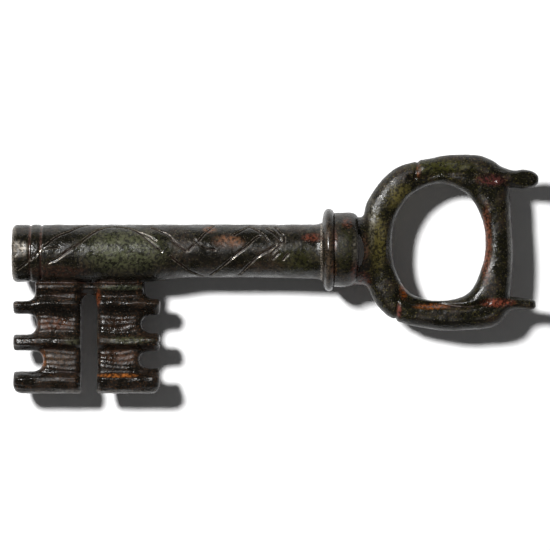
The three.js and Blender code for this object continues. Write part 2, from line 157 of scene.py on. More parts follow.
def turned(name, xs, radii, centres, sides, dent=None):
    """A closed solid of revolution along x, each ring with its own radius and centre height."""
    angles = np.linspace(0, 2 * math.pi, sides, endpoint=False)
    x = np.repeat(xs[:, None], sides, axis=1)
    across = np.cos(angles)[None, :] * np.ones_like(x)
    upward = np.sin(angles)[None, :] * np.ones_like(x)
    radius = radii[:, None] * np.ones_like(x)
    if dent is not None:
        radius = radius - dent(x, across * radius + centres[:, None], upward, radius)
    rings = np.stack([x, across * radius + centres[:, None], upward * radius], -1).reshape(-1, 3)
    poles = [[xs[0], centres[0], 0], [xs[-1], centres[-1], 0]]
    first_pole, last_pole = len(rings), len(rings) + 1
    faces = []
    for row in range(len(xs) - 1):
        for side in range(sides):
            following = (side + 1) % sides
            faces.append((row * sides + side, row * sides + following,
                          (row + 1) * sides + following, (row + 1) * sides + side))
    last_row = (len(xs) - 1) * sides
    for side in range(sides):
        following = (side + 1) % sides
        faces.append((first_pole, following, side))
        faces.append((last_pole, last_row + side, last_row + following))
    return mesh_object(name, np.vstack([rings, poles]), faces)


def linear(code):
    """An sRGB hex colour as linear red, green, blue and alpha."""
    parts = [int(code[i:i + 2], 16) / 255 for i in (1, 3, 5)]
    return [c / 12.92 if c <= 0.04045 else ((c + 0.055) / 1.055) ** 2.4 for c in parts] + [1]


def add(tree, kind, links=None, values=None, **settings):
    """Adds a node with its settings, its inputs' values and links from output sockets."""
    node = tree.nodes.new(kind)
    for key, value in settings.items():
        setattr(node, key, value)
    for key, value in (values or {}).items():
        node.inputs[key].default_value = value
    for key, socket in (links or {}).items():
        tree.links.new(socket, node.inputs[key])
    return node


def tree_inputs(tree, inputs):
    """Gives a node tree its geometry sockets and its named inputs."""
    tree.interface.new_socket("Geometry", in_out="INPUT", socket_type="NodeSocketGeometry")
    tree.interface.new_socket("Geometry", in_out="OUTPUT", socket_type="NodeSocketGeometry")
    for name, kind in inputs.items():
        tree.interface.new_socket(name, in_out="INPUT", socket_type=kind)


def grown(piece, tree, inputs):
    """Runs a tree on the piece and keeps the result as its plain mesh."""
    step = piece.modifiers.new(tree.name, "NODES")
    step.node_group = tree
    for item in tree.interface.items_tree:
        if item.in_out == "INPUT" and item.name in inputs:
            step[item.identifier] = inputs[item.name]
    evaluated = piece.evaluated_get(bpy.context.evaluated_depsgraph_get())
    mesh = bpy.data.meshes.new_from_object(evaluated)
    piece.modifiers.remove(step)
    piece.data = mesh


# Chasing: sinks a rounded furrow along every line of another object, and keeps how deep each
# point lies in it as the attribute "cut".
chasing = bpy.data.node_groups.new("Chased furrows", "GeometryNodeTree")
tree_inputs(chasing, {
    "Lines": "NodeSocketObject", "Half Width": "NodeSocketFloat", "Depth": "NodeSocketFloat",
    "Finish": "NodeSocketMaterial",
})
asked = add(chasing, "NodeGroupInput")
lines_in = add(chasing, "GeometryNodeObjectInfo", {"Object": asked.outputs["Lines"]})
nearest = add(chasing, "GeometryNodeProximity", {0: lines_in.outputs["Geometry"]},
              target_element="EDGES")
furrow = add(chasing, "ShaderNodeMapRange",
             {"Value": nearest.outputs["Distance"], "From Max": asked.outputs["Half Width"]},
             {"To Min": 1.0, "To Max": 0.0}, interpolation_type="SMOOTHSTEP")
sink = add(chasing, "ShaderNodeMath", {0: furrow.outputs[0], 1: asked.outputs["Depth"]},
           operation="MULTIPLY")
sink_down = add(chasing, "ShaderNodeMath", {0: sink.outputs[0]}, {1: -1.0}, operation="MULTIPLY")
outward = add(chasing, "GeometryNodeInputNormal")
sink_by = add(chasing, "ShaderNodeVectorMath",
              {0: outward.outputs[0], "Scale": sink_down.outputs[0]}, operation="SCALE")
cut_kept = add(chasing, "GeometryNodeStoreNamedAttribute",
               {"Geometry": asked.outputs["Geometry"], "Value": furrow.outputs[0]},
               {"Name": "cut"}, data_type="FLOAT", domain="POINT")
furrowed = add(chasing, "GeometryNodeSetPosition",
               {"Geometry": cut_kept.outputs[0], "Offset": sink_by.outputs[0]})
chased_out = add(chasing, "GeometryNodeRealizeInstances", {0: furrowed.outputs[0]})
chased_finish = add(chasing, "GeometryNodeSetMaterial",
                    {"Geometry": chased_out.outputs[0], "Material": asked.outputs["Finish"]})
add(chasing, "NodeGroupOutput", {0: chased_finish.outputs[0]})

# Casting skin: low swells and fine grain left by the mould and by burial. It keeps how far each
# point stands out from its neighbours, in millimetres, as the attribute "edge", so that the
# finish can wear edges and fill hollows.
swell_depth, swell_size = 0.28, 2.4
grain_depth, grain_size = 0.1, 0.5
skin_detail, skin_middle, neighbour_steps = 2.0, 0.56, 9

casting = bpy.data.node_groups.new("Cast and buried skin", "GeometryNodeTree")
tree_inputs(casting, {
    "Swell Depth": "NodeSocketFloat", "Swell Size": "NodeSocketFloat",
    "Grain Depth": "NodeSocketFloat", "Grain Size": "NodeSocketFloat",
    "Seed": "NodeSocketFloat", "Finish": "NodeSocketMaterial",
})
given = add(casting, "NodeGroupInput")
surface = given.outputs["Geometry"]
for layer in ("Swell", "Grain"):
    density = add(casting, "ShaderNodeMath", {1: given.outputs[f"{layer} Size"]}, {0: 1.0},
                  operation="DIVIDE")
    rough = add(casting, "ShaderNodeTexNoise",
                {"W": given.outputs["Seed"], "Scale": density.outputs[0]},
                {"Detail": skin_detail}, noise_dimensions="4D")
    centred = add(casting, "ShaderNodeMath", {0: rough.outputs[0]}, {1: skin_middle},
                  operation="SUBTRACT")
    rise = add(casting, "ShaderNodeMath",
               {0: centred.outputs[0], 1: given.outputs[f"{layer} Depth"]}, operation="MULTIPLY")
    outward = add(casting, "GeometryNodeInputNormal")
    push = add(casting, "ShaderNodeVectorMath", {0: outward.outputs[0], "Scale": rise.outputs[0]},
               operation="SCALE")
    surface = add(casting, "GeometryNodeSetPosition",
                  {"Geometry": surface, "Offset": push.outputs[0]}).outputs[0]
place = add(casting, "GeometryNodeInputPosition")
spread = add(casting, "GeometryNodeBlurAttribute", {"Value": place.outputs[0]},
             {"Iterations": neighbour_steps}, data_type="FLOAT_VECTOR")
stands = add(casting, "ShaderNodeVectorMath", {0: place.outputs[0], 1: spread.outputs[0]},
             operation="SUBTRACT")
outward = add(casting, "GeometryNodeInputNormal")
sharp = add(casting, "ShaderNodeVectorMath", {0: stands.outputs[0], 1: outward.outputs[0]},
            operation="DOT_PRODUCT")
sharpness = add(casting, "ShaderNodeMath", {0: sharp.outputs["Value"]}, {1: 1 / TO_METRES},
                operation="MULTIPLY")
edge_kept = add(casting, "GeometryNodeStoreNamedAttribute",
                {"Geometry": surface, "Value": sharpness.outputs[0]},
                {"Name": "edge"}, data_type="FLOAT", domain="POINT")
cast_out = add(casting, "GeometryNodeRealizeInstances", {0: edge_kept.outputs[0]})
cast_finish = add(casting, "GeometryNodeSetMaterial",
                  {"Geometry": cast_out.outputs[0], "Material": given.outputs["Finish"]})
add(casting, "NodeGroupOutput", {0: cast_finish.outputs[0]})


def cast(piece, finish, seed, slot, *nodes, grain=1.0):
    """Gives a piece the casting skin and its finish, and puts it in place of its CAD nodes."""
    grown(piece, casting, {
        "Swell Depth": swell_depth * TO_METRES, "Swell Size": swell_size * TO_METRES,
        "Grain Depth": grain * grain_depth * TO_METRES, "Grain Size": grain_size * TO_METRES,
        "Seed": seed, "Finish": finish,
    })
    piece.data.shade_smooth()
    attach(piece, "root")
    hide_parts(*nodes)


patina_black, patina_brown = "#0b0a08", "#261b13"
worn_bronze, earth_red = "#958b7e", "#27130d"
waxy_gloss = 0.27
gloss_roughness, dull_roughness = 0.16, 0.46
# The patina's patterns: (width of one blotch, detail, roughness). Clouds of tarnish really are
# about 5 mm wide. The casting's grain is 0.05 to 0.1 mm, under half a pixel of the picture, so
# its flecks, crumbs and speckle are drawn at 0.35 to 0.8 mm.
patina_patterns = {
    "clouds": (5.0, 4.0, 0.6),
    "flecks": (0.8, 3.0, 0.6),
    "crumbs": (0.45, 3.0, 0.7),
    "speckle": (0.35, 2.0, 0.6),
}
# Pits that catch the light: (pattern, strength, depth).
patina_pits = [("speckle", 0.28, 0.22), ("flecks", 0.25, 0.3)]


def aged_bronze(name, ground, specks, patches):
    """Cast bronze under a centuries-old patina. To the eye it is nearly black and waxy, clouded
    brown, with specks of corrosion, red cuprite and earth in hollows, and grey metal where edges
    are rubbed and, as a painted highlight, on the lips of chased lines. Patches are (x, y, half
    length, half width, colour, strength) in the key's frame; some paint shade, highlight or
    reflection."""
    material = bpy.data.materials.new(name)
    material.use_nodes = True
    tree = material.node_tree
    tree.nodes.clear()
    where = add(tree, "ShaderNodeTexCoord").outputs["Object"]
    marks = {}
    for pattern, (width, detail, rough) in patina_patterns.items():
        noise = add(tree, "ShaderNodeTexNoise", {"Vector": where},
                    {"Scale": 1 / (width * TO_METRES), "Detail": detail, "Roughness": rough})
        marks[pattern] = noise.outputs[0]
    for kept in ("edge", "cut"):
        marks[kept] = add(tree, "ShaderNodeAttribute", attribute_name=kept).outputs["Fac"]

    patch_coats = []
    for x, y, half_length, half_width, tint, strength in patches:
        centre = (key_origin[:2] + (x, y)) * TO_METRES
        offset = add(tree, "ShaderNodeVectorMath", {0: where}, {1: (*centre, 0)},
                     operation="SUBTRACT")
        shrunk = add(tree, "ShaderNodeVectorMath", {0: offset.outputs[0]},
                     {1: (1 / (half_length * TO_METRES), 1 / (half_width * TO_METRES), 0)},
                     operation="MULTIPLY")
        reach = add(tree, "ShaderNodeVectorMath", {0: shrunk.outputs[0]}, operation="LENGTH")
        patch = f"patch {len(patch_coats)}"
        marks[patch] = reach.outputs["Value"]
        patch_coats.append((tint, [[(patch, 0.35, 1.2, 1.0, 0.0), ("flecks", 0.42, 0.58, 1.0, 0.15),
                                    ("clouds", 0.3, 0.6, 0.6 * strength, strength)]]))

    # Coats from the ground up, as (colour, where it lies). Each place is a list of ramps (mark,
    # from, to, amount before, amount after) that are multiplied, and the strongest place counts.
    coats = [
        (patina_brown, [[("clouds", 0.45, 0.62, 0.0, 0.8)]]),
        (patina_black, [[("flecks", 0.46, 0.56, 0.0, 0.95)]]),
        (specks, [[("crumbs", 0.55, 0.68, 0.0, 0.75), ("clouds", 0.35, 0.55, 0.2, 1.0)]]),
        *patch_coats,
        (earth_red, [[("edge", -0.12, -0.03, 1.0, 0.0), ("clouds", 0.4, 0.6, 0.2, 0.8)]]),
        (patina_black, [[("cut", 0.45, 0.95, 0.0, 1.0), ("flecks", 0.4, 0.6, 0.35, 0.8)]]),
        (worn_bronze, [
            [("edge", 0.08, 0.24, 0.0, 0.85), ("speckle", 0.44, 0.6, 0.0, 1.0)],
            # The second place is pale metal on both lips of every chased line, a painted highlight.
            [("cut", 0.06, 0.25, 0.0, 1.0), ("cut", 0.3, 0.55, 0.7, 0.0),
             ("flecks", 0.42, 0.6, 0.0, 1.0)],
        ]),
        (worn_bronze, [[("speckle", 0.65, 0.72, 0.0, 0.5)]]),
    ]
    under = add(tree, "ShaderNodeRGB")
    under.outputs[0].default_value = linear(ground)
    colour = under.outputs[0]
    bare_metal = []
    for tint, places in coats:
        amounts = []
        for ramps in places:
            faded = [
                add(tree, "ShaderNodeMapRange", {"Value": marks[mark]},
                    {"From Min": start, "From Max": end, "To Min": before, "To Max": after},
                    interpolation_type="SMOOTHSTEP").outputs[0]
                for mark, start, end, before, after in ramps
            ]
            amount = faded[0]
            for factor in faded[1:]:
                amount = add(tree, "ShaderNodeMath", {0: amount, 1: factor},
                             operation="MULTIPLY").outputs[0]
            amounts.append(amount)
        strongest = amounts[0]
        for other in amounts[1:]:
            strongest = add(tree, "ShaderNodeMath", {0: strongest, 1: other},
                            operation="MAXIMUM").outputs[0]
        mix = add(tree, "ShaderNodeMix", {"Factor": strongest, 6: colour}, {7: linear(tint)},
                  data_type="RGBA")
        colour = mix.outputs[2]
        if tint == worn_bronze:
            bare_metal.append(strongest)

    rubbed_and_lip_highlight, glints = bare_metal
    metallic = add(tree, "ShaderNodeMath", {0: rubbed_and_lip_highlight, 1: glints}, operation="MAXIMUM")
    roughness = add(tree, "ShaderNodeMapRange", {"Value": marks["clouds"]},
                    {"From Min": 0.35, "From Max": 0.65, "To Min": gloss_roughness,
                     "To Max": dull_roughness}, interpolation_type="SMOOTHSTEP")
    normal = {}
    for pattern, strength, depth in patina_pits:
        bump = add(tree, "ShaderNodeBump", {"Height": marks[pattern], **normal},
                   {"Strength": strength, "Distance": depth * TO_METRES})
        normal = {"Normal": bump.outputs[0]}
    shader = add(tree, "ShaderNodeBsdfPrincipled",
                 {"Base Color": colour, "Metallic": metallic.outputs[0],
                  "Roughness": roughness.outputs[0], **normal},
                 {"Specular IOR Level": waxy_gloss})
    add(tree, "ShaderNodeOutputMaterial", {"Surface": shader.outputs[0]})
    return material


def stem_dents(x, y, upward, radius):
    """The flaws in the rim, on the upper side only and clear of the bore."""
    depth = np.zeros_like(x)
    for at_x, at_y, half_length, half_width, sunk in rim_flaws:
        reach = ((x - at_x) / half_length) ** 2 + ((y - at_y) / half_width) ** 2
        depth = depth + sunk * np.exp(-reach * flaw_steepness)
    on_outside = (x < ring_groove_places[0]) * (radius > bore_radius + flaw_gap_to_bore)
    return depth * eased(upward, 0, flaw_fade) * on_outside


# The pipe's rings run up the bore from its end, over the rim and along the outside.
bore_rows = np.linspace(bore_depth, bore_front, bore_steps)
outer_rows = np.concatenate([
    tip_round * (1 - np.cos(np.linspace(0, math.pi / 2, tip_steps)))[:-1],
    np.arange(tip_round, stem_length, stem_step),
    [stem_length],
])
face_radii = np.linspace(bore_radius + mouth_width, stem_radius(0.0), face_steps)[:-1]
stem_x = np.concatenate([
    bore_rows, [x for x, _ in mouth_profile], np.zeros(len(face_radii)), outer_rows,
])
stem_x = np.maximum(stem_x, skin_allowance)
stem_r = np.concatenate([
    np.full(len(bore_rows), bore_radius), [bore_radius + wider for _, wider in mouth_profile],
    face_radii, stem_radius(outer_rows),
])
outside = np.arange(len(stem_x)) >= len(stem_x) - len(outer_rows)
for groove in ring_groove_places:
    hollow = np.exp(-((stem_x - groove) / ring_groove_width) ** 2)
    stem_r = stem_r - outside * ring_groove_depth * hollow
stem = turned("stem_pipe", stem_x, stem_r, stem_centre(stem_x), stem_sides, stem_dents)

# The lattice lies on the upper side, and again on the lower side, turned half round the stem.
lattice_points, lattice_edges = [], []
for line in chased_lines:
    for side in (1, -1):
        start = len(lattice_points)
        for x, y in through(line, steps=line_steps):
            radius, centre = float(stem_radius(x)), float(stem_centre(x))
            lift = min(max((y - centre) / radius, -1), 1)
            lattice_points.append((x, centre + side * radius * lift,
                                   side * radius * math.sqrt(1 - lift * lift)))
        lattice_edges += [(n, n + 1) for n in range(start, len(lattice_points) - 1)]
lattice = mesh_object("lattice_lines", lattice_points, edges=lattice_edges)

# Cast, chased and long handled: a waxy brown-black, olive in the middle, earth where it lay low,
# red cuprite in the grooves and a pale rubbed spot at the tip.
stem_bronze = aged_bronze("Brown-black patinated bronze, chased", "#131109", "#4a4632", [
    (30.0, 0.5, 13.0, 6.5, "#4a4d36", 0.75),
    (57.5, 2.5, 4.5, 2.0, "#7a5238", 0.75),
    *[(groove, 3.2, 0.4, 5.0, "#74564c", 0.65) for groove in ring_groove_places],
    (52.5, 5.8, 2.0, 1.0, "#7a5238", 0.7),
    (79.8, 3.6, 3.0, 1.3, "#6e3a2c", 0.75),
    (75.5, -2.0, 7.0, 4.5, "#2f2f17", 0.7),
    (2.6, 0.8, 2.2, 2.2, "#b3a99a", 0.75),
    (1.0, 1.5, 1.4, 0.3, "#040303", 1.0),
    (2.4, -0.3, 2.0, 0.3, "#040303", 1.0),
    # Painted highlight: a pale strip along the stem's upper edge, which faces the lamp.
    (70.0, 6.4, 13.0, 0.7, "#5f5a50", 0.4),
    (12.0, -5.4, 9.0, 1.6, "#3a2017", 0.6),
    (66.0, -4.0, 9.0, 1.6, "#33261c", 0.6),
    (54.0, 0.0, 9.0, 3.5, "#0a0907", 0.8),
    (12.0, 2.5, 7.0, 3.0, "#0c0b09", 0.7),
])
grown(stem, chasing, {
    "Lines": lattice, "Half Width": line_width * TO_METRES, "Depth": line_depth * TO_METRES,
    "Finish": stem_bronze,
})
bpy.data.objects.remove(lattice)
stem_seed, turned_grain = 3.0, 0.8
cast(stem, stem_bronze, stem_seed, "bronze_brown_black", "stem", grain=turned_grain)

# Collar: a thin raised ring and a barrel-shaped bead behind it, cast in bronze with the stem and
# turned smooth. The crease between the two holds red cuprite.
collar_sides = 220
# Profiles as (x, radius). The core radii are two more rings on each flat end face.
flange_profile = [(82.5, 7.6), (82.5, 8.6), (82.75, 9.7), (83.35, 10.65), (84.1, 10.98),
                  (84.85, 10.75), (85.3, 10.35), (85.56, 9.7)]
knop_profile = [(85.45, 9.6), (85.7, 9.8), (86.6, 9.9), (88.5, 9.93), (90.0, 9.75),
                (91.2, 9.25), (91.85, 8.5), (91.93, 7.6)]
core_radii = [1.0, 4.0]
knop_tilt, knop_tilt_start = 0.35, 88.0
profile_steps = 7
flange_seed, knop_seed = 7.0, 11.0


def collar_piece(name, profile, tilt):
    """A turned ring of the collar, its end raised by tilt."""
    curve = through(profile, steps=profile_steps)
    x = np.concatenate([[profile[0][0]] * 2, curve[:, 0], [profile[-1][0]] * 2])
    radius = np.concatenate([core_radii, curve[:, 1], core_radii[::-1]])
    centres = collar_rise + tilt * eased(x, knop_tilt_start, profile[-1][0])
    return turned(name, x, radius, centres, collar_sides)


# Cast and turned: smoother than the rest, olive on the bead and rubbed on its back edge.
collar_bronze = aged_bronze("Brown-black patinated bronze, turned", "#15120b", "#55482c", [
    (84.1, 0.0, 1.2, 10.0, "#5a4a3c", 0.6),
    (88.5, 1.0, 3.2, 8.0, "#232411", 0.85),
    (89.0, 7.5, 1.6, 1.6, "#5c3022", 0.7),
    (91.0, 0.0, 1.0, 5.0, "#6a655c", 0.6),
    (85.6, 3.0, 0.9, 3.0, "#63382c", 0.6),
    (85.4, -5.0, 0.8, 3.0, "#7a4a22", 0.6),
    (91.3, -6.0, 1.6, 4.0, "#5e2c20", 0.7),
])
flange = collar_piece("collar_ring", flange_profile, 0.0)
cast(flange, collar_bronze, flange_seed, "bronze_brown_black", "collar_flange", grain=turned_grain)
knop = collar_piece("collar_bead", knop_profile, knop_tilt)
cast(knop, collar_bronze, knop_seed, "bronze_olive", "collar_knop", grain=turned_grain)

# Bow: the finger ring on its neck, with an arm laid round its upper and its lower side, each
# ending in a prong. All is one bronze casting: broad facets fall to the hole and to the rim, a
# furrow follows each arm's inner edge, and a slanting seam shows where each arm begins.
bow_centre = np.array([113.4, 2.5])
ring_half, arm_half, prong_half = 3.55, 3.45, 2.3
rim_facet, hole_facet, arm_facet, prong_facet = 2.6, 2.3, 2.3, 0.6
bow_fillet, arm_fillet = 1.3, 0.5
# Radii of the hole every 30 degrees, and (angle, radius) of the turns in the rim.
hole_angle_step = 30
hole_radii = [12.4, 13.1, 14.85, 15.55, 14.4, 13.0, 12.35, 13.35, 15.4, 15.5, 15.65, 13.2]
rim_points = [(0, 19.8), (20, 20.6), (36, 23.4), (50, 25.85), (61, 25.9), (76, 24.0), (96, 22.4),
              (122, 22.9), (150, 22.0), (168, 20.3), (182, 19.2), (196, 19.9), (212, 22.5),
              (235, 23.9), (262, 23.1), (285, 24.2), (304, 26.8), (313, 26.5), (325, 23.4),
              (342, 20.8)]
# Arms: (angle, metal left to the hole) along the inner edge, and angles along the rim.
upper_inner = [(114, 4.2), (104, 2.4), (90, 2.7), (76, 3.6), (60, 5.8), (48, 7.6)]
upper_outer_angles = (104, 96, 88, 76, 65, 55)
lower_inner = [(233, 4.4), (246, 3.5), (259, 2.8), (272, 2.5), (285, 3.4), (297, 4.8), (309, 6.8)]
lower_outer_angles = (242, 250, 262, 274, 286, 296, 304)
# Prongs: (x, inner y, outer y) from the bow's centre.
upper_prong = [(17.6, 14.5, 19.9), (20.2, 14.45, 19.2), (22.8, 14.3, 19.4), (25.0, 14.6, 18.9),
               (26.2, 15.5, 18.0), (26.6, 16.3, 17.3)]
lower_prong = [(18.0, -14.6, -19.3), (20.0, -14.5, -18.1), (22.2, -14.8, -17.9),
               (24.2, -15.0, -18.1), (25.5, -15.4, -17.6), (25.9, -16.1, -17.0)]
prong_start, prong_taper = 131.0, 5.0
neck_start, neck_end = 90.0, 99.0
neck_half_height, neck_half_width, neck_rise = 7.6, 9.0, 0.2
neck_thinning, neck_end_fillet, neck_fillet = 0.58, 1.0, 1.2
# Seams: (angle, metal to the hole) at the inner end, angle at the rim.
seam_ends = [((112, 3.0), 104), ((235, 4.0), 241)]
seam_width, seam_depth = 0.4, 0.35
valley_width, valley_depth = 0.8, 0.5
recess_width, recess_depth, recess_inset = 0.65, 0.7, 1.3
outline_steps, path_steps = 5, 4
bow_low, bow_high, bow_grid = (89.0, -21.6, -6.0), (140.6, 26.8, 6.0), 0.225
bow_seed = 17.0


def polar(angle, radius):
    """A point round the bow's centre."""
    turn = math.radians(angle)
    return bow_centre + radius * np.array([math.cos(turn), math.sin(turn)])


hole_angles = [hole_angle_step * n for n in range(len(hole_radii) + 1)]
rim_angles, rim_radii = zip(*rim_points)
hole_line = through([polar(a, r) for a, r in zip(hole_angles, hole_radii)], closed=True)
rim_line = through([polar(a, r) for a, r in rim_points], closed=True)


def hole_at(angle, metal=0.0):
    """A point on the hole's edge, or as much metal away from it as given."""
    return polar(angle, np.interp(angle % 360, hole_angles, hole_radii + hole_radii[:1]) + metal)


def rim_at(angle):
    """A point on the rim."""
    return polar(angle, np.interp(angle % 360, rim_angles + (360,), rim_radii + rim_radii[:1]))


def arm_line(inner, outer_angles, prong):
    """An arm's outline: along its inner edge, round its prong and back along the rim."""
    inside = [hole_at(a, metal) for a, metal in inner] + [bow_centre + (x, y) for x, y, _ in prong]
    outside = [rim_at(a) for a in outer_angles] + [bow_centre + (x, y) for x, _, y in prong]
    return np.vstack([through(inside, steps=outline_steps),
                      through(outside, steps=outline_steps)[::-1]])


def nearest_edge(x, y, starts, ends):
    """Distance in the plane to the nearest of some straight edges."""
    nearest_square = np.full(x.shape, np.inf)
    for (ax, ay), (bx, by) in zip(starts, ends):
        along_x, along_y = bx - ax, by - ay
        square = along_x * along_x + along_y * along_y
        if square > 0:
            t = np.clip(((x - ax) * along_x + (y - ay) * along_y) / square, 0, 1)
            away = (x - ax - along_x * t) ** 2 + (y - ay - along_y * t) ** 2
            nearest_square = np.minimum(nearest_square, away)
    return np.sqrt(nearest_square)


def outline_distance(line, x, y):
    """Signed distance to a closed outline in the plane, negative inside it."""
    x, y = x[:, :, 0], y[:, :, 0]
    following = np.roll(line, -1, axis=0)
    inside = np.zeros(x.shape, bool)
    for (ax, ay), (bx, by) in zip(line, following):
        if ay != by:
            crosses = (ay > y) != (by > y)
            inside ^= crosses & (x < ax + (bx - ax) * (y - ay) / (by - ay))
    return (nearest_edge(x, y, line, following) * np.where(inside, -1, 1))[:, :, None]


def path_distance(points, x, y):
    """Distance in the plane to an open path."""
    line = through(points, steps=path_steps) if len(points) > 2 else np.array(points, float)
    return nearest_edge(x[:, :, 0], y[:, :, 0], line[:-1], line[1:])[:, :, None]


def both(first, second, round_by):
    """The stuff that lies in both fields, with the corner between them rounded."""
    overlap = np.maximum(round_by - np.abs(first - second), 0) / round_by
    return np.maximum(first, second) + overlap**2 * round_by / 4


def either(first, second, round_by):
    """The stuff of both fields together, with a fillet where they meet."""
    return -both(-first, -second, round_by)


def slab(plan, z, half, facet, round_by):
    """A plate with that plan, half thickness and facet along its edge."""
    top = np.abs(z) - half
    bevelled = (plan + top + facet) / math.sqrt(2)
    return both(both(plan, top, round_by), bevelled, round_by)


def skinned(name, field, low, high, grid):
    """A closed mesh round the space where the field is below zero. Each cell of the grid that the
    skin crosses gets one point, amid the crossings of its edges, and each crossed edge one quad."""
    low, high = np.array(low), np.array(high)
    counts = np.ceil((high - low) / grid).astype(int) + 1
    axes = [low[a] + grid * np.arange(counts[a]) for a in range(3)]
    value = field(*np.meshgrid(*axes, indexing="ij"))
    total, hits, crossings = np.zeros((*(counts - 1), 3)), np.zeros(counts - 1), []
    for a in range(3):
        b, c = (a + 1) % 3, (a + 2) % 3
        near = np.take(value, range(counts[a] - 1), axis=a)
        far = np.take(value, range(1, counts[a]), axis=a)
        cross = (near < 0) != (far < 0)
        spot = np.stack(np.indices(cross.shape), -1).astype(float)
        spot[..., a] += near / np.where(cross, near - far, 1)
        spot *= cross[..., None]
        for over_b in (0, 1):
            for over_c in (0, 1):
                window = [slice(None)] * 3
                window[b] = slice(over_b, counts[b] - 1 + over_b)
                window[c] = slice(over_c, counts[c] - 1 + over_c)
                total += spot[tuple(window)]
                hits += cross[tuple(window)]
        crossings.append((cross, near < 0))
    used = hits > 0
    number = np.full(used.shape, -1)
    number[used] = np.arange(used.sum())
    points = low + grid * total[used] / hits[used][:, None]
    quads = []
    for a, (cross, solid_first) in enumerate(crossings):
        b, c = (a + 1) % 3, (a + 2) % 3
        inner = [slice(None)] * 3
        inner[b] = inner[c] = slice(1, -1)
        spots = np.argwhere(cross[tuple(inner)])
        spots[:, [b, c]] += 1
        corners = []
        for back_b, back_c in ((1, 1), (0, 1), (0, 0), (1, 0)):
            cell = spots.copy()
            cell[:, b] -= back_b
            cell[:, c] -= back_c
            corners.append(number[tuple(cell.T)])
        ring = np.stack(corners, 1)
        backward = ~solid_first[tuple(spots.T)]
        ring[backward] = ring[backward][:, ::-1]
        quads += ring.tolist()
    return mesh_object(name, points, quads)


arm_lines = [arm_line(upper_inner, upper_outer_angles, upper_prong),
             arm_line(lower_inner, lower_outer_angles, lower_prong)]
upper_valley = [hole_at(a, metal) for a, metal in upper_inner]
lower_recess = [hole_at(a, metal - recess_inset) for a, metal in lower_inner]
creases = [([hole_at(*inner), rim_at(outer)], seam_width, seam_depth) for inner, outer in seam_ends]
creases += [(upper_valley, valley_width, valley_depth), (lower_recess, recess_width, recess_depth)]


def bow_field(x, y, z):
    """Below zero inside the bow: the ring, both arms and the neck, less its creases."""
    rim, hole = outline_distance(rim_line, x, y), outline_distance(hole_line, x, y)
    ring = slab(rim, z, ring_half, rim_facet, bow_fillet)
    solid = both(ring, slab(-hole, z, ring_half, hole_facet, bow_fillet), bow_fillet)
    in_prong = eased(x, prong_start, prong_start + prong_taper)
    half = arm_half - (arm_half - prong_half) * in_prong
    facet = arm_facet - (arm_facet - prong_facet) * in_prong
    for line in arm_lines:
        arm = slab(outline_distance(line, x, y), z, half, facet, bow_fillet)
        solid = either(solid, arm, arm_fillet)
    along = eased(x, neck_start, neck_end)
    neck_size = np.sqrt(((y - neck_rise) / neck_half_width) ** 2
                        + (z / (neck_half_height * (1 - neck_thinning * along))) ** 2)
    neck = (neck_size - 1) * neck_half_height
    neck = both(neck, np.maximum(neck_start - x, x - neck_end), neck_end_fillet)
    solid = either(solid, both(neck, -hole, bow_fillet), neck_fillet)
    for path, width, depth in creases:
        solid = solid + depth * np.exp(-(path_distance(path, x, y) / width) ** 2)
    return solid


bow = skinned("bow_with_neck", bow_field, bow_low, bow_high, bow_grid)
# As cast, faceted by hand: olive and mustard on the broad faces, orange earth and red cuprite in
# the furrows, grey where a finger rubs. Painted shade makes it nearly black below, and pale grey
# strips paint a highlight on the left outer facet and a reflection on the right bevel.
bow_bronze = aged_bronze("Olive patinated bronze, cast", "#131208", "#5c542e", [
    (97.0, 3.0, 3.0, 9.0, "#534c26", 0.85),
    (103.0, 14.5, 5.0, 4.0, "#534c26", 0.85),
    (114.0, 22.6, 10.0, 2.2, "#3a3a18", 0.85),
    (127.3, 19.0, 4.5, 1.8, "#5a2c2c", 0.75),
    (125.9, 2.0, 1.6, 11.0, "#7a4430", 0.75),
    (104.0, -10.4, 1.2, 2.6, "#7c3c10", 0.8),
    (111.5, -14.6, 5.0, 0.9, "#8a4814", 0.85),
    (129.0, -13.6, 5.0, 1.3, "#8a4434", 0.75),
    (102.8, -15.8, 0.7, 2.2, "#7a4038", 0.6),
    (108.0, 21.5, 0.7, 2.2, "#7a3a14", 0.6),
    (92.5, -8.0, 3.0, 3.0, "#5e2a20", 0.7),
    # Painted shade: nearly black along the lower facets, which face away from the lamp.
    (114.0, -19.0, 13.0, 2.0, "#0a0a08", 0.85),
    (93.5, 1.0, 1.6, 4.0, "#6b4a3c", 0.5),
    # Painted reflection: a pale grey strip on the right outer bevel.
    (132.4, 3.0, 1.0, 11.0, "#6a665e", 0.7),
    # Painted highlight: a pale grey strip on the left outer facet, which faces the lamp.
    (95.5, 8.0, 1.0, 8.0, "#6e6a60", 0.6),
])
cast(bow, bow_bronze, bow_seed, "bronze_olive",
     "bow_neck", "bow_ring", "bow_upper_arm", "bow_lower_arm")

# Bit: the flat bronze blade that works the lock, cast with the stem and filed: a ribbed root, a
# deep slit down the middle and two leaves, each cut with wards into three teeth. Ribs cross both
# leaves, and orange earth still sits in the recesses between them.
tooth_ends = (0.25, 39.25)
bit_top, bit_foot = -5.9, -37.8
slit_sides, slit_top = (18.3, 22.5), -11.55
# Wards: (lower y, upper y, x of the notch's floor).
front_wards = [(-13.1, -4.0, 6.1), (-22.0, -16.6, 6.4), (-31.8, -26.4, 8.1)]
rear_wards = [(-12.6, -4.0, 35.1), (-21.7, -16.9, 34.5), (-31.1, -26.5, 33.9)]
bit_facet, bit_fillet, tooth_fillet, foot_fillet = 0.9, 0.8, 0.9, 2.6
ward_corner, slit_corner = 2.8, 2.5
slit_hollow, slit_hollow_reach = 1.7, 2.7
slit_hollow_low, slit_hollow_high = slit_top - 1.5, slit_top + 0.5
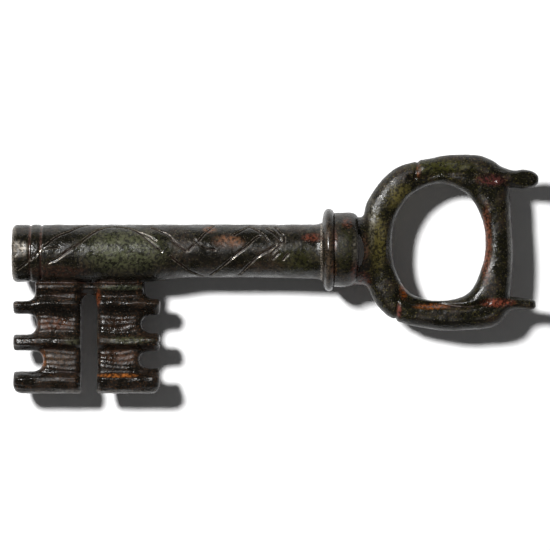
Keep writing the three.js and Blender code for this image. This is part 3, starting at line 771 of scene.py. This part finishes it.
# File marks run across the leaves and wander a little, in waves of (radians per mm in x, in y).
file_mark_depth, file_mark_pitch, file_mark_drift = 0.06, 1.3, 1.3
file_mark_waves = [(0.5, 0.0), (0.3, 0.9)]
tooth_furrow, tooth_furrow_width, tooth_furrow_depth, tooth_furrow_run = -24.5, 0.35, 0.4, 1.0
# Further out than any side of the bit, for notches that are open there.
past_the_bit = 60.0
bit_low, bit_high, bit_grid = (-0.6, -38.7, -4.7), (40.1, -5.2, 4.7), 0.215
bit_seed = 23.0
# How thick the blade is at each distance below the stem's axis: (y, half thickness).
rib_profile = [(-38.2, 1.4), (-37.2, 2.4), (-36.0, 3.1), (-34.6, 3.75), (-33.5, 3.7),
               (-32.8, 2.9), (-32.1, 2.0), (-31.0, 2.1), (-28.5, 2.0), (-26.2, 2.0),
               (-25.3, 2.7), (-24.6, 3.6), (-23.2, 3.5), (-22.1, 2.5), (-21.2, 2.05),
               (-19.2, 1.95), (-17.0, 1.9), (-15.4, 2.6), (-14.2, 3.6), (-13.3, 3.6), (-12.3, 2.7),
               (-11.3, 2.5), (-10.4, 3.1), (-9.6, 3.55), (-8.9, 3.4), (-8.2, 2.7), (-7.2, 3.2),
               (-5.0, 3.4)]


def rectangle(x, y, left, right, low, high, corner):
    """Signed distance to an upright rectangle with rounded corners, negative inside."""
    return both(np.maximum(left - x, x - right), np.maximum(low - y, y - high), corner)


def bit_field(x, y, z):
    """Below zero inside the bit: the outline less wards and slit, as thick as its ribs."""
    ends = both(tooth_ends[0] - x, x - tooth_ends[1], bit_fillet)
    plan = both(both(ends, bit_foot - y, foot_fillet), y - bit_top, bit_fillet)
    notches = [(-past_the_bit, floor, low, high) for low, high, floor in front_wards]
    notches += [(floor, past_the_bit, low, high) for low, high, floor in rear_wards]
    for notch in notches:
        plan = both(plan, -rectangle(x, y, *notch, ward_corner), tooth_fillet)
    slit = rectangle(x, y, *slit_sides, -past_the_bit, slit_top, slit_corner)
    plan = both(plan, -slit, bit_fillet)
    heights, halves = through(rib_profile).T
    beside_slit = np.exp(-((x - sum(slit_sides) / 2) / slit_hollow_reach) ** 4)
    in_root = eased(y, slit_hollow_low, slit_hollow_high)
    half = np.interp(y, heights, halves) - slit_hollow * beside_slit * in_root
    drift = file_mark_drift * sum(np.sin(by_x * x + by_y * y) for by_x, by_y in file_mark_waves)
    half = half + file_mark_depth * np.sin(math.tau * y / file_mark_pitch + drift)
    solid = slab(plan, z, half, bit_facet, bit_fillet)
    middle_floor = rear_wards[1][2]
    on_rear_tooth = eased(x, middle_floor - tooth_furrow_run, middle_floor)
    furrow_depth = tooth_furrow_depth * on_rear_tooth
    return solid + furrow_depth * np.exp(-((y - tooth_furrow) / tooth_furrow_width) ** 2)


bit = skinned("bit_blade", bit_field, bit_low, bit_high, bit_grid)
# Cast and filed: brown-black, with orange and brown earth packed between the ribs and a little
# olive on their crests. The black under the ribs and at the top of the slit is painted shade, and
# a pale strip along the foot is a painted reflection of the table.
bit_bronze = aged_bronze("Brown-black patinated bronze with orange earth", "#120f0b", "#5e4028", [
    (11.0, -19.2, 5.5, 2.0, "#4a2812", 0.8),
    (28.5, -19.2, 5.0, 2.2, "#2c190d", 0.8),
    (11.0, -28.4, 5.0, 2.6, "#43301e", 0.7),
    (28.5, -27.8, 5.0, 2.4, "#4a3020", 0.7),
    (8.2, -28.6, 0.9, 3.0, "#7a4418", 0.8),
    (28.0, -32.9, 6.0, 0.6, "#b0682e", 0.9),
    (16.5, -23.8, 3.0, 1.2, "#4c4c3a", 0.6),
    (31.0, -23.6, 7.0, 1.2, "#4a4c36", 0.6),
    (29.0, -9.6, 7.0, 0.8, "#474c38", 0.6),
    (22.9, -12.5, 0.7, 3.0, "#6a3318", 0.7),
    # Painted shade: near black at the top of the slit, in the hollow of the root.
    (20.4, -8.6, 2.2, 3.6, "#060504", 1.0),
    # Painted shade: black bands under the three ribs, where they overhang.
    (19.7, -15.5, 30.0, 1.0, "#060504", 1.0),
    (19.7, -25.7, 30.0, 0.6, "#060504", 0.9),
    (19.7, -32.0, 30.0, 0.5, "#060504", 0.8),
    # Painted reflection: a pale strip along the foot's lower edge, where the white table is
    # mirrored.
    (19.7, -37.4, 22.0, 0.8, "#77726a", 0.5),
])
cast(bit, bit_bronze, bit_seed, "bronze_earth_brown", "bit_root", "bit_front_leaf", "bit_rear_leaf")

# Table, light and camera, in metres: the key lies on a plain white table. One lamp to the upper
# left gives the short, fairly sharp shadow. The room above is dark, so the patina stays dark,
# and only the horizon is white.
table_size = 8.0
# Distance from the key at which the table starts to look evenly white, and where it does.
white_from, white_by = 0.115, 0.24
lamp_place = (-0.325, 0.225, 0.62)
lamp_size, lamp_watts = 0.115, 8.1
room_glow, horizon_start, horizon_end = 0.068, 0.0, 0.05
camera_height = 1.0
pixels, pixel_size = 550, 0.2662 * TO_METRES
picture_centre = (-0.00021, -0.00026)
sensor_width = 36.0

bpy.ops.mesh.primitive_plane_add(size=table_size, location=(0, 0, 0))
table = bpy.context.object
table.name = "table"
# Matt white paint: no gloss, so the eye sees only white and the key's shadow.
white_paint = bpy.data.materials.new("White matt paint")
white_paint.use_nodes = True
paint_tree = white_paint.node_tree
paint_tree.nodes.clear()
matt = add(paint_tree, "ShaderNodeBsdfPrincipled", None,
           {"Base Color": linear("#ffffff"), "Roughness": 1.0, "Specular IOR Level": 0.0})
on_table = add(paint_tree, "ShaderNodeTexCoord")
from_key = add(paint_tree, "ShaderNodeVectorMath", {0: on_table.outputs["Object"]},
               operation="LENGTH")
far_off = add(paint_tree, "ShaderNodeMapRange", {"Value": from_key.outputs["Value"]},
              {"From Min": white_from, "From Max": white_by}, interpolation_type="SMOOTHSTEP")
table_ray = add(paint_tree, "ShaderNodeLightPath")
to_camera = add(paint_tree, "ShaderNodeMath",
                {0: far_off.outputs[0], 1: table_ray.outputs["Is Camera Ray"]},
                operation="MULTIPLY")
pure_white = add(paint_tree, "ShaderNodeEmission", None,
                 {"Color": linear("#ffffff"), "Strength": 1.0})
fading = add(paint_tree, "ShaderNodeMixShader",
             {0: to_camera.outputs[0], 1: matt.outputs[0], 2: pure_white.outputs[0]})
add(paint_tree, "ShaderNodeOutputMaterial", {"Surface": fading.outputs[0]})
table.data.materials.append(white_paint)

lamp_light = bpy.data.lights.new("upper_left_lamp", "AREA")
lamp_light.shape = "DISK"
lamp_light.size = lamp_size
lamp_light.energy = lamp_watts
lamp = bpy.data.objects.new("upper_left_lamp", lamp_light)
lamp.location = lamp_place
lamp.rotation_euler = (-lamp.location).to_track_quat("-Z", "Y").to_euler()
bpy.context.collection.objects.link(lamp)

room = bpy.data.worlds.new("Dark room with a white horizon")
room.use_nodes = True
sky = room.node_tree
sky.nodes.clear()
sky_ray = add(sky, "ShaderNodeLightPath")
seen_or_mirrored = add(sky, "ShaderNodeMath", {0: sky_ray.outputs["Is Camera Ray"],
                                               1: sky_ray.outputs["Is Glossy Ray"]},
                       operation="MAXIMUM")
seen = add(sky, "ShaderNodeMath", {0: seen_or_mirrored.outputs[0],
                                   1: sky_ray.outputs["Is Transmission Ray"]},
           operation="MAXIMUM")
heading = add(sky, "ShaderNodeTexCoord")
upwards = add(sky, "ShaderNodeSeparateXYZ", {0: heading.outputs["Generated"]})
low_sky = add(sky, "ShaderNodeMapRange", {"Value": upwards.outputs["Z"]},
              {"From Min": horizon_start, "From Max": horizon_end, "To Min": 1.0, "To Max": 0.0},
              interpolation_type="SMOOTHSTEP")
white_part = add(sky, "ShaderNodeMath", {0: seen.outputs[0], 1: low_sky.outputs[0]},
                 operation="MULTIPLY")
glow = add(sky, "ShaderNodeMapRange", {"Value": white_part.outputs[0]},
           {"To Min": room_glow, "To Max": 1.0})
backdrop = add(sky, "ShaderNodeBackground", {"Strength": glow.outputs[0]},
               {"Color": linear("#ffffff")})
add(sky, "ShaderNodeOutputWorld", {"Surface": backdrop.outputs[0]})
bpy.context.scene.world = room

# The picture is as wide as its pixels at the height of the key's middle.
camera_data = bpy.data.cameras.new("straight_down")
camera_data.sensor_width = sensor_width
mid_height = key_origin[2] * TO_METRES
camera_data.lens = sensor_width * (camera_height - mid_height) / (pixels * pixel_size)
camera = bpy.data.objects.new("straight_down", camera_data)
camera.location = (*picture_centre, camera_height)
bpy.context.collection.objects.link(camera)
bpy.context.scene.camera = camera
bpy.context.scene.view_settings.view_transform = "Standard"
